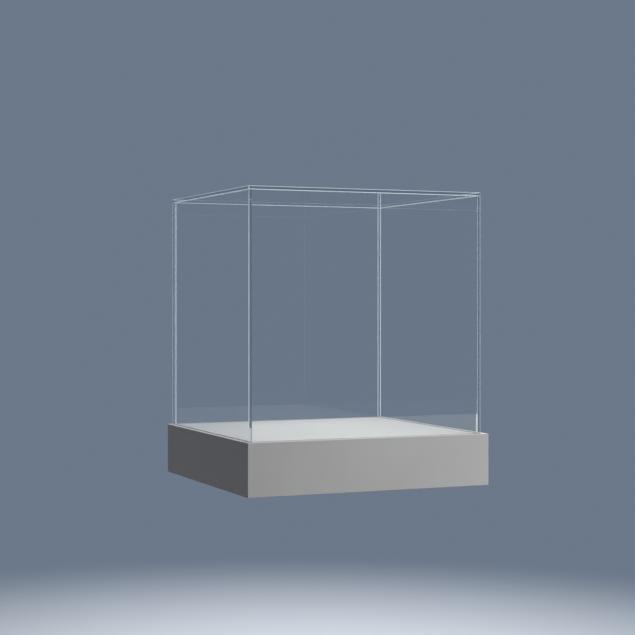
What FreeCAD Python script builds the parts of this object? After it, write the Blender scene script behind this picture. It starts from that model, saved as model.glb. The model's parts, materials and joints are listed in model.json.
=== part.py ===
import FreeCAD, Part
import os

import Sketcher
from FreeCAD import Placement, Rotation, Vector

# Wall display case: a clear five-sided cover stands in a groove round a white box base, and the base
# slides on to the two rods of a bracket that is screwed to the wall.
# Millimetres. X runs to the right along the wall, Y into the wall and Z up. The origin is the centre of
# the wall screw pattern, on the face of the wall.

# Driving sizes
SIZES = {
    # box base, outside
    "base_width": 400,
    "base_depth": 375,
    "base_height": 80,
    "edge_radius": 1,
    # boards of the base
    "deck_thick": 18,
    "panel_thick": 15,
    "back_thick": 12,
    "bottom_thick": 6,
    "bottom_gap": 0.5,
    # clear cover: how far it stands above the deck, and the rim of deck left outside it
    "cover_height": 375,
    "side_rim": 7,
    "front_rim": 13.5,
    "back_rim": 4,
    "pane_thick": 5,
    "pane_arris": 0.4,
    "cement_film": 0.05,
    # groove that the cover's foot stands in
    "groove_depth": 4,
    "groove_gap": 0.5,
    "groove_lead": 0.5,
    "seat_gap": 0.1,
    # wall plate, set in from the boards round it
    "plate_thick": 6,
    "plate_gap": 0.3,
    "plate_side_gap": 15,
    "plate_edge_gap": 3,
    "plate_corner": 4,
    "wall_screw_hole": 6.5,
    "wall_screw_sink": 12,
    "wall_screw_side": 20,
    "wall_screw_edge": 12,
    # rods of the bracket and the bolts that hold them
    "rod_diameter": 16,
    "rod_gap": 0.3,
    "rod_inset": 65,
    "rod_front_gap": 90,
    "rod_nose": 2,
    "bolt_diameter": 8,
    "bolt_head": 16,
    "bolt_length": 28,
    "bolt_gap": 0.2,
    "bolt_socket": 5,
    "bolt_socket_depth": 3.5,
    "bolt_end_gap": 3,
    # timber bearers round the rods, and the front corner blocks
    "bearer_width": 44,
    "bearer_front_gap": 40,
    "block_side": 24,
    "block_bevel": 8,
    # dowels between the boards
    "dowel_diameter": 8,
    "dowel_anchor": 20,
    "dowel_bevel": 1,
    "dowel_gap": 0.05,
    "dowel_end_gap": 0.5,
    "dowel_end": 60,
    "dowel_rise": 16,
    "deck_skin": 4,
    "panel_skin": 5,
    # wood screws
    "bearer_screw_diameter": 4,
    "bearer_screw_head": 8,
    "bearer_screw_length": 45,
    "bottom_screw_diameter": 3.5,
    "bottom_screw_head": 7,
    "bottom_screw_length": 16,
    "bottom_screw_end": 30,
    "screw_gap": 0.05,
    "screw_end_gap": 1,
    "recess_width": 1,
    "recess_span": 3.6,
    "recess_depth": 1.4,
    # lock screws, the inserts that they turn in and the caps below them
    "lock_diameter": 6,
    "lock_gap": 0.3,
    "lock_recess": 0.7,
    "lock_point": 1,
    "lock_socket": 3,
    "lock_socket_depth": 3,
    "insert_diameter": 10,
    "insert_length": 13,
    "insert_bevel": 1,
    "insert_setback": 70,
    "cap_flange": 16,
    "cap_flange_thick": 1.5,
    "cap_plug": 12,
    "cap_plug_length": 4.5,
    "cap_wall": 1.2,
    "cap_gap": 0.1,
}

# Levels, places and fits worked out from the driving sizes
FITS = {
    # base: half widths along X, faces along Y and levels along Z
    "half_width": "dims.base_width / 2",
    "inner_half": "half_width - dims.panel_thick",
    "front_inner": "dims.panel_thick - dims.base_depth",
    "back_rear": "-dims.plate_thick - dims.plate_gap",
    "back_front": "back_rear - dims.back_thick",
    "panel_rise": "(dims.base_height - dims.deck_thick) / 2",
    "floor_top": "dims.bottom_thick - panel_rise",
    "deck_top": "panel_rise + dims.deck_thick",
    # cover
    "cover_half": "half_width - dims.side_rim",
    "cover_front": "dims.front_rim - dims.base_depth",
    "cover_rear": "-dims.back_rim",
    "pane_foot": "deck_top - dims.groove_depth + dims.seat_gap",
    "top_under": "deck_top + dims.cover_height - dims.pane_thick",
    "pane_head": "top_under - dims.cement_film",
    "end_pane_half": "cover_half - dims.pane_thick - dims.cement_film",
    "groove_inset": "dims.pane_thick + dims.groove_gap",
    # wall bracket
    "plate_half_width": "inner_half - dims.plate_side_gap",
    "plate_half_height": "panel_rise - dims.plate_edge_gap",
    "wall_screw_x": "plate_half_width - dims.wall_screw_side",
    "wall_screw_z": "plate_half_height - dims.wall_screw_edge",
    "rod_x": "inner_half - dims.rod_inset",
    "rod_radius": "dims.rod_diameter / 2",
    "rod_bore": "dims.rod_diameter + 2 * dims.rod_gap",
    "rod_length": "-dims.plate_thick - front_inner - dims.rod_front_gap",
    "bolt_hole": "dims.bolt_diameter + 2 * dims.bolt_gap",
    "bolt_sink": "dims.bolt_head + 2 * dims.bolt_gap",
    "bolt_reach": "dims.bolt_length - dims.plate_thick + dims.bolt_end_gap",
    # bearers and corner blocks
    "bearer_half": "dims.bearer_width / 2",
    "bearer_length": "back_front - front_inner - dims.bearer_front_gap",
    "block_x": "inner_half - dims.block_side / 2",
    "block_y": "front_inner + dims.block_side / 2",
    # dowels
    "dowel_bore": "dims.dowel_diameter + 2 * dims.dowel_gap",
    "dowel_hole": "dims.dowel_anchor + dims.dowel_end_gap",
    "deck_bite": "dims.deck_thick - dims.groove_depth - dims.deck_skin",
    "panel_bite": "dims.panel_thick - dims.panel_skin",
    "deck_dowel_length": "deck_bite + dims.dowel_anchor",
    "panel_dowel_length": "panel_bite + dims.dowel_anchor",
    "front_mid": "dims.panel_thick / 2 - dims.base_depth",
    "side_mid": "half_width - dims.panel_thick / 2",
    "back_mid": "(back_rear + back_front) / 2",
    "dowel_x": "half_width - dims.dowel_end",
    "dowel_front": "front_inner + dims.dowel_end",
    "dowel_z": "panel_rise - dims.dowel_rise",
    # wood screws
    "bearer_screw_x": "(rod_bore + dims.bearer_width) / 4",
    "bearer_screw_hole": "dims.bearer_screw_diameter + 2 * dims.screw_gap",
    "bearer_screw_sink": "dims.bearer_screw_head + 2 * dims.screw_gap",
    "bearer_screw_depth": "dims.bearer_screw_length - dims.back_thick + dims.screw_end_gap",
    "bottom_screw_hole": "dims.bottom_screw_diameter + 2 * dims.screw_gap",
    "bottom_screw_sink": "dims.bottom_screw_head + 2 * dims.screw_gap",
    "bottom_screw_depth": "dims.bottom_screw_length - dims.bottom_thick + dims.screw_end_gap",
    "bottom_screw_rear": "back_front - dims.bottom_screw_end",
    "bottom_screw_front": "back_front - bearer_length + dims.bottom_screw_end",
    # lock screws
    "lock_y": "back_front - dims.insert_setback",
    "lock_hole": "dims.lock_diameter + 2 * dims.screw_gap",
    "lock_foot": "floor_top + dims.lock_recess",
    "lock_length": "-rod_radius - dims.lock_gap - lock_foot",
    "insert_hole": "dims.insert_diameter + 2 * dims.screw_gap",
    "cap_hole": "dims.cap_plug + 2 * dims.cap_gap",
    "cap_seat": "dims.cap_flange + 2 * dims.cap_gap",
}

# Signs that place a piece on its side of the middle
LEFT, RIGHT = "-", ""
SIDES = {"left": LEFT, "right": RIGHT}

# Millimetres within which two places count as one
SAME_PLACE = 1e-4

# Turns that lay a piece made along +Z down along -Y or +X
UPRIGHT = Rotation()
TO_FRONT = Rotation(Vector(1, 0, 0), 90)
TO_RIGHT = Rotation(Vector(0, 1, 0), 90)

doc = FreeCAD.newDocument("wall_display_case")


def make_sheet(name, cells):
    sheet = doc.addObject("Spreadsheet::Sheet", name)
    for row, (alias, content) in enumerate(cells.items(), start=1):
        sheet.set(f"A{row}", alias)
        sheet.set(f"B{row}", content)
        sheet.setAlias(f"B{row}", alias)
    doc.recompute()
    return sheet


dims = make_sheet("dims", {alias: str(size) for alias, size in SIZES.items()})
fits = make_sheet("fits", {alias: f"={formula}" for alias, formula in FITS.items()})


def number(expression):
    return float(dims.evalExpression(expression))


# Sketches and features, each size bound to an expression on the sheets

def make_body(label, x="0", y="0", z="0", turn=UPRIGHT):
    body = doc.addObject("PartDesign::Body", label)
    body.Placement = Placement(Vector(), turn)
    for axis, place in zip("xyz", (x, y, z)):
        body.setExpression(f"Placement.Base.{axis}", place)
    return body


def make_sketch(body, role, lift="0"):
    sketch = body.newObject("Sketcher::SketchObject", f"{body.Name}_sketch")
    plane = next(plane for plane in body.Origin.OriginFeatures if plane.Role == role)
    sketch.AttachmentSupport = (plane, [""])
    sketch.MapMode = "FlatFace"
    sketch.setExpression("AttachmentOffset.Base.z", lift)
    return sketch


def bind(sketch, constraint, expression):
    index = sketch.addConstraint(constraint)
    sketch.renameConstraint(index, f"size_{index}")
    sketch.setExpression(f"Constraints.size_{index}", expression)


def pin(sketch, curve, point, x, y):
    for kind, place in (("DistanceX", x), ("DistanceY", y)):
        bind(sketch, Sketcher.Constraint(kind, -1, 1, curve, point, number(place)), place)


def draw_outline(sketch, corners):
    first = sketch.GeometryCount
    count = len(corners)
    points = [Vector(number(x), number(y)) for x, y in corners]
    for index, point in enumerate(points):
        sketch.addGeometry(Part.LineSegment(point, points[(index + 1) % count]))
    for index, (x, y) in enumerate(corners):
        after = first + (index + 1) % count
        sketch.addConstraint(Sketcher.Constraint("Coincident", first + index, 2, after, 1))
        pin(sketch, first + index, 1, x, y)


def draw_rectangle(sketch, left, right, low, high):
    draw_outline(sketch, [(left, low), (right, low), (right, high), (left, high)])


def draw_circles(sketch, spots, diameter):
    for x, y in spots:
        circle = Part.Circle(Vector(number(x), number(y)), Vector(0, 0, 1), number(diameter) / 2)
        curve = sketch.addGeometry(circle)
        pin(sketch, curve, 3, x, y)
        bind(sketch, Sketcher.Constraint("Diameter", curve, number(diameter)), diameter)


def pad(body, sketch, length, backwards=False):
    feature = body.newObject("PartDesign::Pad", f"{body.Name}_pad")
    feature.Profile = sketch
    feature.Reversed = backwards
    feature.setExpression("Length", length)


def pocket(body, sketch, depth, along_normal=False):
    feature = body.newObject("PartDesign::Pocket", f"{body.Name}_pocket")
    feature.Profile = sketch
    feature.Reversed = along_normal
    feature.setExpression("Length", depth)


def drill(body, role, spots, diameter, depth, lift="0", along_normal=False):
    sketch = make_sketch(body, role, lift)
    draw_circles(sketch, spots, diameter)
    pocket(body, sketch, depth, along_normal)


def countersink(body, role, spots, diameter, sink, lift="0", along_normal=False):
    sketch = make_sketch(body, role, lift)
    draw_circles(sketch, spots, diameter)
    doc.recompute()
    hole = body.newObject("PartDesign::Hole", f"{body.Name}_hole")
    hole.Profile = sketch
    hole.DepthType = "ThroughAll"
    hole.HoleCutType = "Countersink"
    hole.HoleCutCustomValues = True
    hole.HoleCutCountersinkAngle = 90
    hole.Reversed = along_normal
    hole.setExpression("Diameter", diameter)
    hole.setExpression("HoleCutDiameter", sink)


def dress(body, kind, setting, size, chosen):
    """Rounds or chamfers the edges of the body so far whose middle passes the test."""
    doc.recompute()
    base = body.Tip
    edges = enumerate(base.Shape.Edges, start=1)
    names = [f"Edge{index}" for index, edge in edges if chosen(edge.CenterOfMass)]
    feature = body.newObject(f"PartDesign::{kind}", f"{body.Name}_{kind.lower()}")
    feature.Base = (base, names)
    feature.setExpression(setting, size)


def round_edges(body, chosen, radius="dims.edge_radius"):
    dress(body, "Fillet", "Radius", radius, chosen)


def chamfer_edges(body, chosen, size):
    dress(body, "Chamfer", "Size", size, chosen)


def at(value, expression):
    return abs(value - number(expression)) < SAME_PLACE


def turn_body(label, profile, x="0", y="0", z="0", turn=UPRIGHT):
    """A turned piece along +Z, from a profile of radius and height."""
    body = make_body(label, x, y, z, turn)
    sketch = make_sketch(body, "XZ_Plane")
    draw_outline(sketch, profile)
    feature = body.newObject("PartDesign::Revolution", f"{label}_turning")
    feature.Profile = sketch
    feature.ReferenceAxis = (sketch, ["V_Axis"])
    feature.Angle = 360
    return body


def group(label, master, turn, spots):
    """One node of separate copies of a small piece, one at each spot."""
    copies = []
    for count, spot in enumerate(spots, start=1):
        copy = doc.addObject("App::Link", f"{label}_{count}")
        copy.LinkedObject = master
        copy.Placement = Placement(Vector(), turn)
        for axis, place in zip("xyz", spot):
            copy.setExpression(f"Placement.Base.{axis}", place)
        copies.append(copy)
    node = doc.addObject("Part::Compound", label)
    node.Links = copies
    return node


# Places that several pieces share

FRONT_ROW = [(x, "fits.front_mid") for x in ("-fits.dowel_x", "0", "fits.dowel_x")]
SIDE_ROW = ["fits.dowel_front", "-dims.dowel_end"]
DOWEL_LEVELS = ["-fits.dowel_z", "fits.dowel_z"]
ROD_SPOTS = [(f"{side}fits.rod_x", "0") for side in SIDES.values()]
LOCK_SPOTS = [(f"{side}fits.rod_x", "fits.lock_y") for side in SIDES.values()]
BEARER_SCREW_SPOTS = [
    (f"{side}fits.rod_x {step} fits.bearer_screw_x", "0") for side in SIDES.values() for step in "-+"
]
BLOCK_SPOTS = [(f"{side}fits.block_x", "fits.block_y") for side in SIDES.values()]
BOTTOM_SCREW_SPOTS = BLOCK_SPOTS + [
    (f"{side}fits.rod_x", y)
    for side in SIDES.values()
    for y in ("fits.bottom_screw_rear", "fits.bottom_screw_front")
]


# Clear cover

def cover_top_pane():
    pane = make_body("cover_top_pane", z="fits.top_under")
    sketch = make_sketch(pane, "XY_Plane")
    draw_rectangle(sketch, "-fits.cover_half", "fits.cover_half", "fits.cover_front", "fits.cover_rear")
    pad(pane, sketch, "dims.pane_thick")

    def outer(middle):
        end = at(middle.y, "fits.cover_front") or at(middle.y, "fits.cover_rear")
        return at(middle.z, "dims.pane_thick") or at(abs(middle.x), "fits.cover_half") and end

    chamfer_edges(pane, outer, "dims.pane_arris")
    return pane


def cover_end_pane(label, y):
    """Front or back pane, between the side panes."""
    pane = make_body(label, y=y)
    sketch = make_sketch(pane, "XZ_Plane")
    draw_rectangle(sketch, "-fits.end_pane_half", "fits.end_pane_half", "fits.pane_foot", "fits.pane_head")
    pad(pane, sketch, "dims.pane_thick")
    return pane


def cover_side_pane(label, side):
    """Side pane over the whole depth, with the upright corners of its outer face polished."""
    pane = make_body(label, x=f"{side}fits.cover_half")
    sketch = make_sketch(pane, "YZ_Plane")
    draw_rectangle(sketch, "fits.cover_front", "fits.cover_rear", "fits.pane_foot", "fits.pane_head")
    pad(pane, sketch, "dims.pane_thick", backwards=side == RIGHT)

    def outer(middle):
        end = at(middle.y, "fits.cover_front") or at(middle.y, "fits.cover_rear")
        return at(middle.x, "0") and end

    chamfer_edges(pane, outer, "dims.pane_arris")
    return pane


# Box base

def deck_board():
    deck = make_body("deck_board", z="fits.panel_rise")
    sketch = make_sketch(deck, "XY_Plane")
    draw_rectangle(sketch, "-fits.half_width", "fits.half_width", "-dims.base_depth", "0")
    pad(deck, sketch, "dims.deck_thick")
    ring = make_sketch(deck, "XY_Plane", "dims.deck_thick")
    for growth in ("dims.groove_gap", "(-fits.groove_inset)"):
        draw_rectangle(
            ring,
            f"-fits.cover_half - {growth}",
            f"fits.cover_half + {growth}",
            f"fits.cover_front - {growth}",
            f"fits.cover_rear + {growth}",
        )
    pocket(deck, ring, "dims.groove_depth")

    def lip(middle):
        on_side = at(abs(middle.x), "fits.half_width")
        on_end = at(middle.y, "-dims.base_depth") or at(middle.y, "0")
        return at(middle.z, "dims.deck_thick") and not on_side and not on_end

    chamfer_edges(deck, lip, "dims.groove_lead")
    side_rows = [(f"{side}fits.side_mid", y) for side in SIDES.values() for y in SIDE_ROW]
    depth = "fits.deck_bite + dims.dowel_end_gap"
    drill(deck, "XY_Plane", FRONT_ROW + side_rows, "fits.dowel_bore", depth, along_normal=True)

    def outer(middle):
        end, front = at(abs(middle.x), "fits.half_width"), at(middle.y, "-dims.base_depth")
        return end and front or (end or front) and at(middle.z, "dims.deck_thick")

    round_edges(deck, outer)
    return deck


def front_panel():
    panel = make_body("front_panel", y="fits.front_inner")
    sketch = make_sketch(panel, "XZ_Plane")
    draw_rectangle(sketch, "-fits.half_width", "fits.half_width", "-fits.panel_rise", "fits.panel_rise")
    pad(panel, sketch, "dims.panel_thick")
    top_spots = [(x, "-dims.panel_thick / 2") for x, _ in FRONT_ROW]
    drill(panel, "XY_Plane", top_spots, "fits.dowel_bore", "fits.dowel_hole", lift="fits.panel_rise")
    end_spots = [(f"{side}fits.side_mid", z) for side in SIDES.values() for z in DOWEL_LEVELS]
    depth = "fits.panel_bite + dims.dowel_end_gap"
    drill(panel, "XZ_Plane", end_spots, "fits.dowel_bore", depth, along_normal=True)

    def outer(middle):
        end, front = at(abs(middle.x), "fits.half_width"), at(middle.y, "-dims.panel_thick")
        return end and front or (end or front) and at(middle.z, "-fits.panel_rise")

    round_edges(panel, outer)
    return panel


def side_panel(label, side):
    panel = make_body(label, x=f"{side}fits.inner_half")
    sketch = make_sketch(panel, "YZ_Plane")
    draw_rectangle(sketch, "fits.front_inner", "0", "-fits.panel_rise", "fits.panel_rise")
    pad(panel, sketch, "dims.panel_thick", backwards=side == LEFT)
    middle = f"{side}dims.panel_thick / 2"
    top_spots = [(middle, y) for y in SIDE_ROW]
    drill(panel, "XY_Plane", top_spots, "fits.dowel_bore", "fits.dowel_hole", lift="fits.panel_rise")
    end_spots = [(middle, z) for z in DOWEL_LEVELS]
    drill(panel, "XZ_Plane", end_spots, "fits.dowel_bore", "fits.dowel_hole", lift="-fits.front_inner")
    back_spots = [("fits.back_mid", z) for z in DOWEL_LEVELS]
    depth = "fits.panel_bite + dims.dowel_end_gap"
    drill(panel, "YZ_Plane", back_spots, "fits.dowel_bore", depth, along_normal=side == RIGHT)
    face = f"{side}dims.panel_thick"
    round_edges(panel, lambda middle: at(middle.x, face) and at(middle.z, "-fits.panel_rise"))
    return panel


def back_board():
    board = make_body("back_board", y="fits.back_rear")
    sketch = make_sketch(board, "XZ_Plane")
    draw_rectangle(sketch, "-fits.inner_half", "fits.inner_half", "-fits.panel_rise", "fits.panel_rise")
    draw_circles(sketch, ROD_SPOTS, "fits.rod_bore")
    pad(board, sketch, "dims.back_thick")
    spots = [("-dims.back_thick / 2", z) for z in DOWEL_LEVELS]
    drill(board, "YZ_Plane", spots, "fits.dowel_bore", "fits.dowel_hole", lift="fits.inner_half")
    drill(
        board, "YZ_Plane", spots, "fits.dowel_bore", "fits.dowel_hole",
        lift="-fits.inner_half", along_normal=True,
    )
    countersink(
        board, "XZ_Plane", BEARER_SCREW_SPOTS, "fits.bearer_screw_hole", "fits.bearer_screw_sink",
        along_normal=True,
    )
    return board


def bottom_panel():
    panel = make_body("bottom_panel", z="-fits.panel_rise")
    sketch = make_sketch(panel, "XY_Plane")
    draw_rectangle(
        sketch,
        "-fits.inner_half + dims.bottom_gap",
        "fits.inner_half - dims.bottom_gap",
        "fits.front_inner + dims.bottom_gap",
        "fits.back_front - dims.bottom_gap",
    )
    draw_circles(sketch, LOCK_SPOTS, "fits.cap_hole")
    pad(panel, sketch, "dims.bottom_thick")
    drill(panel, "XY_Plane", LOCK_SPOTS, "fits.cap_seat", "dims.cap_flange_thick", along_normal=True)
    countersink(
        panel, "XY_Plane", BOTTOM_SCREW_SPOTS, "fits.bottom_screw_hole", "fits.bottom_screw_sink",
        along_normal=True,
    )
    return panel


def bearer(label, side):
    """Timber round one rod, from the back board forwards, with its own X measured from the rod."""
    timber = make_body(label, x=f"{side}fits.rod_x", y="fits.back_front")
    sketch = make_sketch(timber, "XZ_Plane")
    draw_rectangle(sketch, "-fits.bearer_half", "fits.bearer_half", "fits.floor_top", "fits.panel_rise")
    draw_circles(sketch, [("0", "0")], "fits.rod_bore")
    pad(timber, sketch, "fits.bearer_length")
    end_spots = [(f"{step}fits.bearer_screw_x", "0") for step in ("-", "")]
    depth = "fits.bearer_screw_depth"
    drill(timber, "XZ_Plane", end_spots, "fits.bearer_screw_hole", depth, along_normal=True)

    def drill_up(spots, diameter, depth):
        drill(timber, "XY_Plane", spots, diameter, depth, lift="fits.floor_top", along_normal=True)

    lock_spot = [("0", "-dims.insert_setback")]
    drill_up(lock_spot, "fits.insert_hole", "dims.insert_length")
    drill_up(lock_spot, "fits.lock_hole", "-fits.floor_top")
    screw_spots = [("0", "-dims.bottom_screw_end"), ("0", "dims.bottom_screw_end - fits.bearer_length")]
    drill_up(screw_spots, "fits.bottom_screw_hole", "fits.bottom_screw_depth")
    return timber


def corner_block(label, side):
    """Upright block in a front corner, bevelled on its free corner."""
    block = make_body(label, x=f"{side}fits.inner_half", y="fits.front_inner", z="fits.floor_top")
    sketch = make_sketch(block, "XY_Plane")
    way = "" if side == LEFT else "-"
    far = f"{way}dims.block_side"
    bevelled = f"{way}(dims.block_side - dims.block_bevel)"
    outline = [
        ("0", "0"),
        (far, "0"),
        (far, "dims.block_side - dims.block_bevel"),
        (bevelled, "dims.block_side"),
        ("0", "dims.block_side"),
    ]
    draw_outline(sketch, outline)
    pad(block, sketch, "fits.panel_rise - fits.floor_top")
    spot = [(f"{way}dims.block_side / 2", "dims.block_side / 2")]
    drill(block, "XY_Plane", spot, "fits.bottom_screw_hole", "fits.bottom_screw_depth", along_normal=True)
    return block


# Small pieces that are repeated, each made along +Z from its head or foot

def dowel(label, length):
    radius = "dims.dowel_diameter / 2"
    profile = [
        ("0", "0"),
        (f"{radius} - dims.dowel_bevel", "0"),
        (radius, "dims.dowel_bevel"),
        (radius, f"{length} - dims.dowel_bevel"),
        (f"{radius} - dims.dowel_bevel", length),
        ("0", length),
    ]
    return turn_body(label, profile)


def wood_screw(label, diameter, head, length):
    """Countersunk screw with a cross recess in its head and a plain shank for the thread."""
    profile = [
        ("0", "0"),
        (f"{head} / 2", "0"),
        (f"{diameter} / 2", f"({head} - {diameter}) / 2"),
        (f"{diameter} / 2", f"{length} - {diameter}"),
        ("0", length),
    ]
    screw = turn_body(label, profile)
    across, along = "dims.recess_width / 2", "dims.recess_span / 2"
    for half_x, half_y in ((across, along), (along, across)):
        sketch = make_sketch(screw, "XY_Plane")
        draw_rectangle(sketch, f"-{half_x}", half_x, f"-{half_y}", half_y)
        pocket(screw, sketch, "dims.recess_depth", along_normal=True)
    return screw


def add_socket(body, across, depth):
    socket = body.newObject("PartDesign::SubtractivePrism", f"{body.Name}_socket")
    socket.Polygon = 6
    socket.setExpression("Circumradius", f"{across} / sqrt(3)")
    socket.setExpression("Height", depth)


def rod_bolt():
    radius = "dims.bolt_diameter / 2"
    profile = [
        ("0", "0"),
        ("dims.bolt_head / 2", "0"),
        (radius, "(dims.bolt_head - dims.bolt_diameter) / 2"),
        (radius, "dims.bolt_length"),
        ("0", "dims.bolt_length"),
    ]
    bolt = turn_body("rod_bolt", profile)
    add_socket(bolt, "dims.bolt_socket", "dims.bolt_socket_depth")
    return bolt


def lock_screw():
    """Set screw with its socket at the foot and a short point under the rod."""
    radius = "dims.lock_diameter / 2"
    profile = [
        ("0", "0"),
        (radius, "0"),
        (radius, "fits.lock_length - dims.lock_point"),
        (f"{radius} - dims.lock_point", "fits.lock_length"),
        ("0", "fits.lock_length"),
    ]
    screw = turn_body("lock_screw", profile)
    add_socket(screw, "dims.lock_socket", "dims.lock_socket_depth")
    return screw


def threaded_insert():
    bore, radius = "fits.lock_hole / 2", "dims.insert_diameter / 2"
    profile = [
        (bore, "0"),
        (radius, "0"),
        (radius, "dims.insert_length - dims.insert_bevel"),
        (f"{radius} - dims.insert_bevel", "dims.insert_length"),
        (bore, "dims.insert_length"),
    ]
    return turn_body("threaded_insert", profile)


def access_cap():
    """Thin flange, flush with the bottom, on a short hollow plug."""
    flange, plug = "dims.cap_flange / 2", "dims.cap_plug / 2"
    hollow = f"{plug} - dims.cap_wall"
    profile = [
        ("0", "0"),
        (flange, "0"),
        (flange, "dims.cap_flange_thick"),
        (plug, "dims.cap_flange_thick"),
        (plug, "dims.cap_plug_length"),
        (hollow, "dims.cap_plug_length"),
        (hollow, "dims.cap_flange_thick"),
        ("0", "dims.cap_flange_thick"),
    ]
    return turn_body("access_cap", profile)


def dowel_groups():
    deck_spots = FRONT_ROW + [(f"{side}fits.side_mid", y) for side in SIDES.values() for y in SIDE_ROW]
    deck_foot = "fits.panel_rise - dims.dowel_anchor"
    deck_dowel = dowel("deck_dowel", "fits.deck_dowel_length")
    panel_dowel = dowel("panel_dowel", "fits.panel_dowel_length")
    front_spots = [
        (f"{side}fits.side_mid", "fits.front_inner + dims.dowel_anchor", z)
        for side in SIDES.values()
        for z in DOWEL_LEVELS
    ]
    back_starts = ("-fits.inner_half - fits.panel_bite", "fits.inner_half - dims.dowel_anchor")
    back_spots = [(x, "fits.back_mid", z) for x in back_starts for z in DOWEL_LEVELS]
    return [
        group("deck_dowels", deck_dowel, UPRIGHT, [(x, y, deck_foot) for x, y in deck_spots]),
        group("front_dowels", panel_dowel, TO_FRONT, front_spots),
        group("back_dowels", panel_dowel, TO_RIGHT, back_spots),
    ]


def fastener_groups():
    bearer_screw = wood_screw(
        "bearer_screw", "dims.bearer_screw_diameter", "dims.bearer_screw_head", "dims.bearer_screw_length"
    )
    bottom_screw = wood_screw(
        "bottom_screw", "dims.bottom_screw_diameter", "dims.bottom_screw_head", "dims.bottom_screw_length"
    )
    bearer_spots = [(x, "fits.back_rear", z) for x, z in BEARER_SCREW_SPOTS]
    bottom_spots = [(x, y, "-fits.panel_rise") for x, y in BOTTOM_SCREW_SPOTS]
    insert_spots = [(x, y, "fits.floor_top") for x, y in LOCK_SPOTS]
    lock_spots = [(x, y, "fits.lock_foot") for x, y in LOCK_SPOTS]
    cap_spots = [(x, y, "-fits.panel_rise") for x, y in LOCK_SPOTS]
    bolt_spots = [(x, "0", z) for x, z in ROD_SPOTS]
    return [
        group("bearer_screws", bearer_screw, TO_FRONT, bearer_spots),
        group("bottom_screws", bottom_screw, UPRIGHT, bottom_spots),
        group("threaded_inserts", threaded_insert(), UPRIGHT, insert_spots),
        group("lock_screws", lock_screw(), UPRIGHT, lock_spots),
        group("access_caps", access_cap(), UPRIGHT, cap_spots),
        group("rod_bolts", rod_bolt(), TO_FRONT, bolt_spots),
    ]


# Wall bracket

def wall_plate():
    plate = make_body("wall_plate")
    sketch = make_sketch(plate, "XZ_Plane")
    draw_rectangle(
        sketch,
        "-fits.plate_half_width",
        "fits.plate_half_width",
        "-fits.plate_half_height",
        "fits.plate_half_height",
    )
    pad(plate, sketch, "dims.plate_thick")

    def corner(middle):
        return at(abs(middle.x), "fits.plate_half_width") and at(abs(middle.z), "fits.plate_half_height")

    round_edges(plate, corner, "dims.plate_corner")
    countersink(plate, "XZ_Plane", ROD_SPOTS, "fits.bolt_hole", "fits.bolt_sink", along_normal=True)
    wall_spots = [
        (f"{x}fits.wall_screw_x", f"{z}fits.wall_screw_z") for x in ("-", "") for z in ("-", "")
    ]
    countersink(
        plate, "XZ_Plane", wall_spots, "dims.wall_screw_hole", "dims.wall_screw_sink", lift="dims.plate_thick"
    )
    return plate


def rod(label, side):
    """Round bar with a bevelled nose and a plain hole in its rear end for the bolt's thread."""
    hole = "dims.bolt_diameter / 2 + dims.screw_gap"
    profile = [
        (hole, "0"),
        ("fits.rod_radius", "0"),
        ("fits.rod_radius", "fits.rod_length - dims.rod_nose"),
        ("fits.rod_radius - dims.rod_nose", "fits.rod_length"),
        ("0", "fits.rod_length"),
        ("0", "fits.bolt_reach"),
        (hole, "fits.bolt_reach"),
    ]
    return turn_body(label, profile, f"{side}fits.rod_x", "-dims.plate_thick", "0", TO_FRONT)


nodes = [
    cover_top_pane(),
    cover_end_pane("cover_front_pane", "fits.cover_front + dims.pane_thick"),
    cover_end_pane("cover_back_pane", "fits.cover_rear"),
    deck_board(),
    front_panel(),
    back_board(),
    bottom_panel(),
    wall_plate(),
]
for word, side in SIDES.items():
    nodes.append(cover_side_pane(f"cover_{word}_pane", side))
    nodes.append(side_panel(f"{word}_panel", side))
    nodes.append(bearer(f"{word}_bearer", side))
    nodes.append(corner_block(f"{word}_corner_block", side))
    nodes.append(rod(f"{word}_rod", side))
nodes += dowel_groups()
nodes += fastener_groups()
doc.recompute()

# Every feature has to be sound, every cut has to remove something and every node has to be whole solids.
CUTS = ("PartDesign::Pocket", "PartDesign::Hole", "PartDesign::SubtractivePrism")
for item in doc.Objects:
    if "Invalid" in item.State or "Error" in item.State:
        raise RuntimeError(f"{item.Label} is {item.State}")
    if item.TypeId in CUTS and item.Shape.Volume >= item.BaseFeature.Shape.Volume:
        raise RuntimeError(f"{item.Label} cuts nothing")
for node in nodes:
    if node.Shape.isNull() or not node.Shape.isValid() or not node.Shape.Solids:
        raise RuntimeError(f"{node.Label} has no valid shape")

os.makedirs("parts", exist_ok=True)
for node in nodes:
    node.Shape.exportStep(f"parts/{node.Label}.step")
    print(f"{node.Label}: {len(node.Shape.Solids)} solid(s), {node.Shape.Volume:.0f} mm3")
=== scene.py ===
import json
import math

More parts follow.
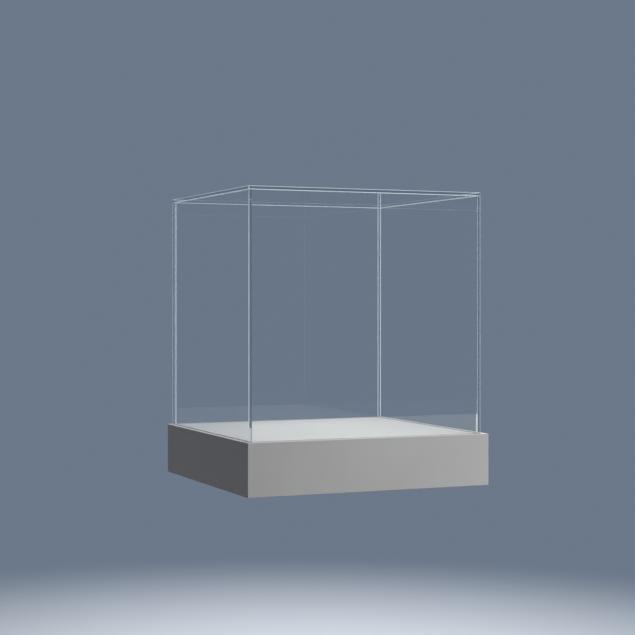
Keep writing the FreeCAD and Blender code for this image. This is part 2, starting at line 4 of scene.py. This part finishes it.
import bmesh
import bpy
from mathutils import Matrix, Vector


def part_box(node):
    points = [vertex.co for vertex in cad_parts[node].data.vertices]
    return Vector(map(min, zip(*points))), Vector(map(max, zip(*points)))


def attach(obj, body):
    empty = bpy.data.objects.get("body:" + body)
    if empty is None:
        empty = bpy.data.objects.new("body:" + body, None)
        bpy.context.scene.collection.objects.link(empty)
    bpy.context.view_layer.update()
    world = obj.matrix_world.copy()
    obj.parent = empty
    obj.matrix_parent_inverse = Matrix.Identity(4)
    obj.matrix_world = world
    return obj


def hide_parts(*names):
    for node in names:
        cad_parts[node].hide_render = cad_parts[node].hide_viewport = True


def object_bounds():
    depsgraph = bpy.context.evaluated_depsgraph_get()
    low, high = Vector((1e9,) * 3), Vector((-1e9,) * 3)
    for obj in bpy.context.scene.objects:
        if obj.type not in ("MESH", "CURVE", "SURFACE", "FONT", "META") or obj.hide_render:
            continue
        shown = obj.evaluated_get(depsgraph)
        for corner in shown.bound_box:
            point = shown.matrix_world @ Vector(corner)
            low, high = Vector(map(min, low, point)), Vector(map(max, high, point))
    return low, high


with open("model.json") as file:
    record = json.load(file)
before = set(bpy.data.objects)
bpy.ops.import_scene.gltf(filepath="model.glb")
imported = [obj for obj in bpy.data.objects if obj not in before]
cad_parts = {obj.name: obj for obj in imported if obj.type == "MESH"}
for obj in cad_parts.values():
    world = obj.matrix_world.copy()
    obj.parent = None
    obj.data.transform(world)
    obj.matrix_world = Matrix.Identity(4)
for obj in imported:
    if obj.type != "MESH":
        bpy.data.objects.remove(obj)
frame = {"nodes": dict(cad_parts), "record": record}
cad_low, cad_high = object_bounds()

# Display case: a clear acrylic cover on a white lacquered box base, which hangs on a hidden bracket.
# Lengths are in metres. Seen from the front, +X is to the right, +Y to the back and +Z up.

MM = 0.001
ACROSS, INWARD, UP = range(3)

# The photograph's camera: level, with its verticals kept upright by a small lens shift
CAMERA_PLACE = (-0.996, -2.4685, 0.2585)
CAMERA_LEVEL = math.radians(90.0)
CAMERA_TURN = math.radians(23.413)
LENS = 87.48
SENSOR = 36.0
LENS_SHIFT = -0.0296

# Cover: the width of each pane's scraped arrises, and of those within reach of a flush joint
ARRISES = {"top": 0.7 * MM, "front": 0.8 * MM, "back": 0.45 * MM, "left": 0.8 * MM, "right": 0.8 * MM}
JOINT_ARRIS = 0.35 * MM
JOINT_REACH = 0.5 * MM
ARRIS_STEPS = 3

# Cover: the angle of an edge that is still sharp, and a sheet's three finishes, told apart by how
# squarely a face lies and by its area
SHARP_EDGE = math.radians(80.0)
FACE, ARRIS, CUT_EDGE = range(3)
FLAT_FACE = 0.999
BROAD_FACE = 0.01

# Cover: the air left round the cement, across a joint and along it
CEMENT_CLEAR = 0.01 * MM
CEMENT_INSETS = {"front": 0.1 * MM, "back": 0.6 * MM, "top": 0.8 * MM}

# Base: where paint gives way to the painted shade in the groove and to bare board, each the start and end
# of a fade. They are measured from the rim and the top of the deck, from the back, and in from the outside.
GROOVE_MARGIN = (2.4 * MM, 2.52 * MM)
GROOVE_TOP = (0.25 * MM, 0.35 * MM)
GROOVE_REACH = (5.25 * MM, 5.0 * MM)
REAR_EDGE = (0.6 * MM, 0.2 * MM)
OVERSPRAY = (2.6 * MM, 5.0 * MM)
OVERSPRAY_MIST = 5.0 * MM

# Clear sheet: the share of light that a face mirrors head on, how steeply that grows at a slant (at an
# even blend, Facing is 0 head on and 1 along the face), and the tints of faces, edges, arrises and cement
HEAD_ON_GLOSS = 0.04
SLANT_POWER = 5.0
EVEN_BLEND = 0.5
SHEET_INDEX = 1.49
FACE_TINT = (0.985, 0.99, 0.99)
GLOSS_TINT = (0.97, 0.98, 0.985)
EDGE_TINT = (0.5, 0.6, 0.68)
ARRIS_SATIN = (0.86, 0.89, 0.92), (0.93, 0.95, 0.97)
ARRIS_THROUGH = (0.92, 0.95, 0.98)
CEMENT_WHITE = (0.86, 0.89, 0.91)
CLEAR = (1.0, 1.0, 1.0)

# The other finishes: each pair is the two tints that a surface varies between
PAINT = (0.785, 0.779, 0.762), (0.825, 0.819, 0.802)
# Painted shade: the dark grey pair below goes into the routed groove and stands in for the shade down in it
GROOVE_SHADE = (0.27, 0.27, 0.275), (0.34, 0.34, 0.345)
BOARD_EDGE = (0.34, 0.235, 0.145), (0.52, 0.39, 0.26)
BOARD = (0.40, 0.285, 0.185), (0.56, 0.425, 0.29)
BOARD_FLECK = (0.24, 0.16, 0.1)
SOFTWOOD = (0.66, 0.475, 0.285), (0.47, 0.29, 0.15)
BEECH = (0.6, 0.42, 0.265), (0.5, 0.325, 0.19)
ZINC = (0.66, 0.67, 0.69), (0.55, 0.55, 0.53)
BRASS = (0.72, 0.53, 0.26), (0.56, 0.38, 0.17)
BLACK_STEEL = (0.06, 0.06, 0.065), (0.035, 0.035, 0.04)
BRIGHT_STEEL = (0.62, 0.63, 0.64), (0.54, 0.54, 0.53)
POWDER_COAT = (0.028, 0.028, 0.03), (0.045, 0.045, 0.048)
MOULDED_WHITE = (0.78, 0.78, 0.765), (0.83, 0.83, 0.82)

# Patterns: the range that most of a noise lies in, and those in which single marks come out of it. Then
# marks to the metre: along each axis on metal, and along and across the grain in wood.
NOISE_RANGE = (0.3, 0.7)
TARNISH_RANGE = (0.3, 0.75)
WIPING_RANGE = (0.45, 0.8)
BUBBLE_RANGE = (0.56, 0.66)
FLECK_RANGE = (0.62, 0.7)
RING_RANGE = (0.35, 0.95)
WORKED_MARKS = (900.0, 900.0, 900.0)
TURNED_MARKS = (60.0, 2600.0, 60.0)
BANDS_ALONG = 2.0
BANDS_ACROSS = 38.0
FIBRES_ALONG = 30.0
FIBRES_ACROSS = 1400.0
RINGS_IN_BAND = 9.0

# Studio: the background that is seen, the light of the room, a floor, and lamps, of which one also
# shows in gloss and clear sheet
BACKGROUND = (0.15, 0.19, 0.255)
ROOM_LIGHT = (0.052, 0.059, 0.072)
FLOOR_COLOUR = (0.76, 0.8, 0.86)
FLOOR_BOUNCE = (0.22, 0.22, 0.22)
FLOOR_DROP = 0.45
FLOOR_RADIUS = 9.0
FLOOR_SIDES = 96
FLOOR_FADE = (0.3, 1.8)
LIGHT_BOUNCES = 128
LAMPS = {
    "overhead_box": {"place": (0.15, 0.35, 2.4), "width": 1.8, "height": 1.2, "power": 31.5},
    "rear_box": {"place": (1.3, 1.6, 1.8), "width": 1.2, "height": 1.2, "power": 24.0, "mirrored": True},
    "low_rear_box": {"place": (1.3, 4.3, 0.4), "width": 2.2, "height": 1.2, "power": 170.0},
    "front_box": {"place": (1.5, -1.6, 0.9), "width": 1.0, "height": 1.0, "power": 27.0},
}


class Tone:
    """A socket in a tree of shader nodes. Sums written on it add Math nodes."""

    def __init__(self, tree, socket=None):
        self.tree = tree
        self.socket = socket

    def node(self, kind, settings=None, inputs=None, output=0):
        """Adds a node of any other kind: its settings first, then its sockets' links, colours or values."""
        made = self.tree.nodes.new("ShaderNode" + kind)
        for name, setting in (settings or {}).items():
            setattr(made, name, setting)
        for name, value in (inputs or {}).items():
            socket = made.inputs[name]
            if isinstance(value, Tone):
                self.tree.links.new(value.socket, socket)
            elif socket.type == "RGBA":
                socket.default_value = (*value, 1.0)
            else:
                socket.default_value = value
        return Tone(self.tree, made.outputs[output] if made.outputs else None)

    def sum(self, operation, first, second=0.0):
        return self.node("Math", {"operation": operation}, {0: first, 1: second})

    def __add__(self, other):
        return self.sum("ADD", self, other)

    def __sub__(self, other):
        return self.sum("SUBTRACT", self, other)

    def __rsub__(self, other):
        return self.sum("SUBTRACT", other, self)

    def __mul__(self, other):
        return self.sum("MULTIPLY", self, other)

    def __truediv__(self, other):
        return self.sum("DIVIDE", self, other)

    def __pow__(self, other):
        return self.sum("POWER", self, other)

    def __abs__(self):
        return self.sum("ABSOLUTE", self)

    __radd__ = __add__
    __rmul__ = __mul__

    def fraction(self):
        return self.sum("FRACT", self)

    def least(self, other):
        return self.sum("MINIMUM", self, other)

    def most(self, other):
        return self.sum("MAXIMUM", self, other)

    def step(self, start, end, low=0.0, high=1.0):
        """Goes smoothly from low to high as the value goes from start to end."""
        values = {"Value": self, "From Min": start, "From Max": end, "To Min": low, "To Max": high}
        return self.node("MapRange", {"interpolation_type": "SMOOTHSTEP"}, values)

    def spread(self, low=0.0, high=1.0):
        """Widens a noise, which keeps near its middle, to the range from low to high."""
        return self.step(*NOISE_RANGE, low, high)

    def axes(self):
        """The three parts of a vector."""
        split = self.node("SeparateXYZ", inputs={"Vector": self}).socket.node
        return [Tone(self.tree, output) for output in split.outputs]

    def stretch(self, scale):
        return self.node("Mapping", inputs={"Vector": self, "Scale": scale})

    def noise(self, scale=1.0, detail=2.0, roughness=0.5):
        """Soft random variation about 0.5, with scale repeats to the metre."""
        values = {"Vector": self, "Scale": scale, "Detail": detail, "Roughness": roughness}
        return self.node("TexNoise", inputs=values)

    def bump(self, height, distance, strength):
        values = {"Height": height, "Distance": distance, "Strength": strength}
        return self.node("Bump", inputs=values)

    def blend(self, first, second):
        """The first colour where this mask is 0 and the second where it is 1."""
        settings = {"data_type": "RGBA", "clamp_factor": True}
        return self.node("Mix", settings, {0: self, 6: first, 7: second}, output=2)

    def layer(self, under, over):
        """The under shader where this share is 0 and the over shader where it is 1."""
        return self.node("MixShader", inputs={0: self, 1: under, 2: over})


def start_finish(name):
    """A new material and its object coordinates."""
    material = bpy.data.materials.new(name)
    material.use_nodes = True
    material.node_tree.nodes.clear()
    place = Tone(material.node_tree).node("TexCoord", output="Object")
    return material, place


def end_finish(material, shader):
    shader.node("OutputMaterial", inputs={"Surface": shader})
    return material


def white_lacquer():
    """Sprayed satin lacquer, with painted shade in the routed groove and bare board on the rear edges."""
    material, place = start_finish("white_lacquer")
    across, inward, up = place.axes()
    deck_low, deck_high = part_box("deck_board")
    from_side = deck_high.x - abs(across)
    from_back = deck_high.y - inward
    from_rim = from_side.least(inward - deck_low.y).least(from_back)
    depth = deck_high.z - up
    from_outside = from_side.least(depth).least(up - cad_low.z)

    mottle = place.noise(scale=9.0, detail=3.0)
    strokes = place.stretch((60.0, 60.0, 5.0)).noise()
    peel = place.noise(scale=520.0, detail=1.0)
    fibre = place.stretch((900.0, 900.0, 260.0)).noise(detail=3.0, roughness=0.7)
    mist = place.noise(scale=160.0, detail=4.0, roughness=0.7)

    paint = (mottle * 0.75 + strokes * 0.25).spread().blend(*PAINT)
    # Painted shade: a dark grey that stands in for the shade in the groove
    groove_shade = mottle.spread().blend(*GROOVE_SHADE)
    board = fibre.spread().blend(*BOARD_EDGE)
    # Mask for the painted shade: inside the routed groove, below its top
    groove = from_rim.step(*GROOVE_MARGIN) * depth.step(*GROOVE_TOP) * depth.step(*GROOVE_REACH)
    rear_edge = from_back.step(*REAR_EDGE) * (from_outside + mist * OVERSPRAY_MIST).step(*OVERSPRAY)
    groove_or_bare_edge = groove.most(rear_edge)
    values = {
        "Base Color": rear_edge.blend(groove.blend(paint, groove_shade), board),
        "Roughness": 0.6 + mottle * 0.12 + groove_or_bare_edge * 0.2,
        "Normal": place.bump(peel + groove_or_bare_edge * fibre * 2.0, distance=0.05 * MM, strength=0.35),
        "Specular IOR Level": 0.2,
    }
    return end_finish(material, place.node("BsdfPrincipled", inputs=values))


def clear_acrylic():
    """The broad faces of cast sheet: clear, with a gloss that grows at a slant and has faint wiping marks.

    Each sheet mirrors once, where light enters it, by the share of both its faces.
    """
    material, place = start_finish("clear_acrylic")
    wiping = place.stretch((14.0, 14.0, 4.0)).noise(detail=4.0, roughness=0.6)
    slant = place.node("LayerWeight", inputs={"Blend": EVEN_BLEND}, output="Facing")
    entering = 1.0 - place.node("NewGeometry", output="Backfacing")
    face_share = HEAD_ON_GLOSS + (1.0 - HEAD_ON_GLOSS) * slant**SLANT_POWER
    sheet_share = 2.0 * face_share / (1.0 + face_share)
    through = place.node("BsdfTransparent", inputs={"Color": FACE_TINT})
    gloss = {"Color": GLOSS_TINT, "Roughness": wiping.step(*WIPING_RANGE, high=0.02)}
    shine = place.node("BsdfAnisotropic", inputs=gloss)
    return end_finish(material, (sheet_share * entering).layer(through, shine))


def cut_edge():
    """The polished cut edges of the sheet, which show the depth of its colour."""
    material, place = start_finish("cut_edge")
    marks = place.noise(scale=700.0)
    values = {
        "Base Color": EDGE_TINT,
        "Roughness": marks.spread(low=0.02, high=0.06),
        "IOR": SHEET_INDEX,
        "Transmission Weight": 1.0,
    }
    return end_finish(material, place.node("BsdfPrincipled", inputs=values))


def scraped_arris():
    """The satin line left where the sharp edge of a sheet is scraped: it scatters what light gets there."""
    material, place = start_finish("scraped_arris")
    chatter = place.noise(scale=1300.0)
    values = {
        "Base Color": chatter.spread().blend(*ARRIS_SATIN),
        "Roughness": 0.42 + chatter * 0.2,
    }
    satin = place.node("BsdfPrincipled", inputs=values)
    through = place.node("BsdfTranslucent", inputs={"Color": ARRIS_THROUGH})
    return end_finish(material, chatter.spread(low=0.5, high=0.65).layer(satin, through))


def cement():
    """Solvent cement in the joints between the panes: cloudy, with fine trapped bubbles."""
    material, place = start_finish("acrylic_cement")
    haze = place.noise(scale=160.0, detail=3.0, roughness=0.6)
    bubbles = place.noise(scale=1400.0, detail=1.0).step(*BUBBLE_RANGE)
    cloudy = haze.spread(low=0.12, high=0.18) + bubbles * 0.1
    through = place.node("BsdfTransparent", inputs={"Color": CLEAR})
    white = place.node("BsdfPrincipled", inputs={"Base Color": CEMENT_WHITE, "Roughness": 0.5})
    return end_finish(material, cloudy.layer(through, white))


def bare_board():
    """Unpainted fibreboard: fine tangled fibre with darker flecks."""
    material, place = start_finish("bare_board")
    fibre = place.stretch((420.0, 900.0, 900.0)).noise(detail=4.0, roughness=0.7)
    fleck = place.noise(scale=900.0, detail=1.0).step(*FLECK_RANGE)
    cloud = place.noise(scale=14.0)
    tan = (fibre * 0.7 + cloud * 0.3).spread().blend(*BOARD)
    values = {
        "Base Color": (fleck * 0.6).blend(tan, BOARD_FLECK),
        "Roughness": 0.72 + fibre * 0.2,
        "Normal": place.bump(fibre, distance=0.12 * MM, strength=0.5),
    }
    return end_finish(material, place.node("BsdfPrincipled", inputs=values))


def timber(name, along, tints):
    """Planed wood whose grain runs along one axis: growth rings and fine fibre."""
    material, place = start_finish(name)
    band_scale = Vector([BANDS_ACROSS] * 3)
    band_scale[along] = BANDS_ALONG
    fibre_scale = Vector([FIBRES_ACROSS] * 3)
    fibre_scale[along] = FIBRES_ALONG
    bands = place.stretch(band_scale).noise(scale=3.0, roughness=0.4)
    rings = (bands * RINGS_IN_BAND).fraction().step(*RING_RANGE)
    fibre = place.stretch(fibre_scale).noise(detail=3.0, roughness=0.6)
    values = {
        "Base Color": (rings * 0.7 + fibre * 0.3).blend(*tints),
        "Roughness": 0.55 + fibre * 0.25,
        "Normal": place.bump(fibre + rings * 0.5, distance=0.08 * MM, strength=0.5),
    }
    return end_finish(material, place.node("BsdfPrincipled", inputs=values))


def metal(name, tints, roughness, marking=WORKED_MARKS):
    """Bare or plated metal with fine working marks and a little uneven tarnish."""
    material, place = start_finish(name)
    tarnish = place.noise(scale=120.0, detail=3.0)
    marks = place.stretch(marking).noise()
    values = {
        "Base Color": tarnish.step(*TARNISH_RANGE).blend(*tints),
        "Metallic": 1.0,
        "Roughness": roughness + marks * 0.12 + tarnish * 0.08,
        "Normal": place.bump(marks, distance=0.01 * MM, strength=0.5),
    }
    return end_finish(material, place.node("BsdfPrincipled", inputs=values))


def black_coat():
    """Black powder coat with its fine pebbled skin."""
    material, place = start_finish("black_coated_steel")
    pebble = place.noise(scale=1100.0, detail=1.0)
    cloud = place.noise(scale=30.0, detail=3.0)
    values = {
        "Base Color": cloud.blend(*POWDER_COAT),
        "Roughness": 0.42 + cloud * 0.14,
        "Normal": place.bump(pebble, distance=0.09 * MM, strength=0.6),
    }
    return end_finish(material, place.node("BsdfPrincipled", inputs=values))


def white_plastic():
    """The moulded caps, with a fine grain."""
    material, place = start_finish("white_plastic")
    grain = place.noise(scale=1500.0)
    cloud = place.noise(scale=90.0)
    values = {
        "Base Color": cloud.blend(*MOULDED_WHITE),
        "Roughness": 0.48 + grain * 0.12,
        "Normal": place.bump(grain, distance=0.03 * MM, strength=0.5),
    }
    return end_finish(material, place.node("BsdfPrincipled", inputs=values))


def put_in_scene(name, shape, materials):
    """Turns a finished bmesh into an object at the origin."""
    mesh = bpy.data.meshes.new(name)
    shape.to_mesh(mesh)
    shape.free()
    for material in materials:
        mesh.materials.append(material)
    piece = bpy.data.objects.new(name, mesh)
    bpy.context.collection.objects.link(piece)
    return piece


def block(low, high):
    """A bmesh box between two corners."""
    shape = bmesh.new()
    bmesh.ops.create_cube(shape, size=1.0)
    bmesh.ops.scale(shape, verts=shape.verts, vec=high - low)
    bmesh.ops.translate(shape, verts=shape.verts, vec=(low + high) / 2)
    return shape


def is_upright(edge):
    first, second = (corner.co for corner in edge.verts)
    return first.x == second.x and first.y == second.y


def in_joint(edge):
    """True for the edges cemented flush to another pane: all round under the top and beside the front."""
    _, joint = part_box("cover_front_pane")
    reach = joint + Vector([JOINT_REACH] * 3)
    ends = [corner.co for corner in edge.verts]
    under_top = all(abs(end.z - joint.z) < JOINT_REACH for end in ends)
    beside_front = all(abs(end.x) < reach.x and end.y < reach.y for end in ends)
    return under_top or beside_front and is_upright(edge)


def scrape(shape, edges, width):
    """Rounds some edges of a sheet."""
    bmesh.ops.bevel(
        shape,
        geom=edges,
        offset=width,
        offset_type="OFFSET",
        affect="EDGES",
        segments=ARRIS_STEPS,
        profile=0.5,
        material=-1,
    )


def polished_pane(pane, materials):
    """A polished sheet of the pane's size with scraped arrises, which are finer in its flush joints.

    The front pane's ends, which butt against the side panes, stay sharp.
    """
    node = f"cover_{pane}_pane"
    shape = block(*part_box(node))
    for flush, width in ((False, ARRISES[pane]), (True, JOINT_ARRIS)):
        sharp = [edge for edge in shape.edges if edge.calc_face_angle() > SHARP_EDGE]
        scraped = [edge for edge in sharp if pane != "front" or not is_upright(edge)]
        scrape(shape, [edge for edge in scraped if in_joint(edge) == flush], width)
    shape.normal_update()
    for face in shape.faces:
        flat = max(abs(part) for part in face.normal) > FLAT_FACE
        broad = face.calc_area() > BROAD_FACE
        face.material_index = (FACE if broad else CUT_EDGE) if flat else ARRIS
    piece = put_in_scene(f"{pane}_pane", shape, materials)
    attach(piece, "cover")
    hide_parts(node)


def cement_box(first, second, axis):
    """The corners of the film between two panes that face each other along one axis."""
    low_a, high_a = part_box(f"cover_{first}_pane")
    low_b, high_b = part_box(f"cover_{second}_pane")
    low = Vector(max(a, b) for a, b in zip(low_a, low_b))
    high = Vector(min(a, b) for a, b in zip(high_a, high_b))
    low[axis], high[axis] = sorted((low[axis], high[axis]))
    clear = Vector([CEMENT_INSETS[first]] * 3)
    clear[axis] = CEMENT_CLEAR
    return low + clear, high - clear


def cement_seams():
    """The cement lines of the cover: down its four corners and round under its top."""
    finish = cement()
    joints = [(end, side, ACROSS) for end in ("front", "back") for side in ("left", "right")]
    joints += [("top", pane, UP) for pane in ("front", "back", "left", "right")]
    for first, second, axis in joints:
        shape = block(*cement_box(first, second, axis))
        piece = put_in_scene(f"{first}_{second}_cement_seam", shape, [finish])
        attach(piece, "cover")


def seen_ray(start):
    """1 for sight itself and for what shows in gloss or through clear sheet, 0 for scattered light."""
    camera_ray = start.node("LightPath", output="Is Camera Ray")
    glossy_ray = start.node("LightPath", output="Is Glossy Ray")
    clear_ray = start.node("LightPath", output="Is Transmission Ray")
    scattered = start.node("LightPath", output="Diffuse Depth").least(1.0)
    return camera_ray.most(glossy_ray).most(clear_ray) * (1.0 - scattered)


def studio_world():
    """An even grey-blue background for sight, gloss and glass, and a dimmer room light for the rest."""
    world = bpy.data.worlds.new("studio")
    world.use_nodes = True
    world.node_tree.nodes.clear()
    start = Tone(world.node_tree)
    tint = seen_ray(start).blend(ROOM_LIGHT, BACKGROUND)
    light = start.node("Background", inputs={"Color": tint, "Strength": 1.0})
    start.node("OutputWorld", inputs={"Surface": light})
    bpy.context.scene.world = world


def studio_floor():
    """A pale round floor that takes the shadow and fades into the background further off."""
    shape = bmesh.new()
    bmesh.ops.create_circle(shape, cap_ends=True, segments=FLOOR_SIDES, radius=FLOOR_RADIUS)
    bmesh.ops.translate(shape, verts=shape.verts, vec=(0.0, 0.0, cad_low.z - FLOOR_DROP))
    material, place = start_finish("floor")
    across, inward, _ = place.axes()
    distance = (across * across + inward * inward) ** 0.5
    seen = seen_ray(place)
    near_tint = seen.blend(FLOOR_BOUNCE, FLOOR_COLOUR)
    near_shade = place.node("BsdfDiffuse", inputs={"Color": near_tint})
    far_shade = place.node("Emission", inputs={"Color": BACKGROUND, "Strength": 1.0})
    end_finish(material, (distance.step(*FLOOR_FADE) * seen).layer(near_shade, far_shade))
    put_in_scene("floor", shape, [material])


def soft_box(name, aim, place, width, height, power, mirrored=False):
    """A rectangular lamp that faces the point it is aimed at, and may show in gloss and clear sheet."""
    lamp = bpy.data.lights.new(name, "AREA")
    lamp.shape = "RECTANGLE"
    lamp.size = width
    lamp.size_y = height
    lamp.energy = power
    holder = bpy.data.objects.new(name, lamp)
    holder.location = place
    holder.visible_glossy = mirrored
    holder.visible_transmission = mirrored
    holder.rotation_euler = (aim - Vector(place)).to_track_quat("-Z", "Y").to_euler()
    bpy.context.collection.objects.link(holder)


def photo_camera():
    lens = bpy.data.cameras.new("camera")
    lens.lens = LENS
    lens.sensor_width = SENSOR
    lens.shift_y = LENS_SHIFT
    holder = bpy.data.objects.new("camera", lens)
    holder.location = CAMERA_PLACE
    holder.rotation_euler = (CAMERA_LEVEL, 0.0, -CAMERA_TURN)
    bpy.context.collection.objects.link(holder)
    bpy.context.scene.camera = holder


finishes = {
    "clear_acrylic": clear_acrylic(),
    "white_lacquer": white_lacquer(),
    "bare_board": bare_board(),
    "softwood": timber("softwood", INWARD, SOFTWOOD),
    "beech": timber("beech", UP, BEECH),
    "zinc_screw": metal("zinc_screw", ZINC, roughness=0.26),
    "brass_insert": metal("brass_insert", BRASS, roughness=0.24),
    "black_steel": metal("black_steel", BLACK_STEEL, roughness=0.34),
    "white_plastic": white_plastic(),
    "black_coated_steel": black_coat(),
    "bright_steel": metal("bright_steel", BRIGHT_STEEL, roughness=0.2, marking=TURNED_MARKS),
}
for row in frame["record"]["subparts"]:
    node = frame["nodes"][row["node"]]
    node.data.materials.clear()
    node.data.materials.append(finishes[row["material_slot"]])

sheet_finishes = [finishes["clear_acrylic"], scraped_arris(), cut_edge()]
for pane in ARRISES:
    polished_pane(pane, sheet_finishes)
cement_seams()

studio_world()
studio_floor()
middle = (cad_low + cad_high) / 2
for name, setup in LAMPS.items():
    soft_box(name, middle, **setup)
photo_camera()
bpy.context.scene.view_settings.view_transform = "Standard"
bpy.context.scene.cycles.max_bounces = LIGHT_BOUNCES
bpy.context.scene.cycles.transparent_max_bounces = LIGHT_BOUNCES
bpy.context.scene.cycles.glossy_bounces = LIGHT_BOUNCES
bpy.context.scene.cycles.transmission_bounces = LIGHT_BOUNCES
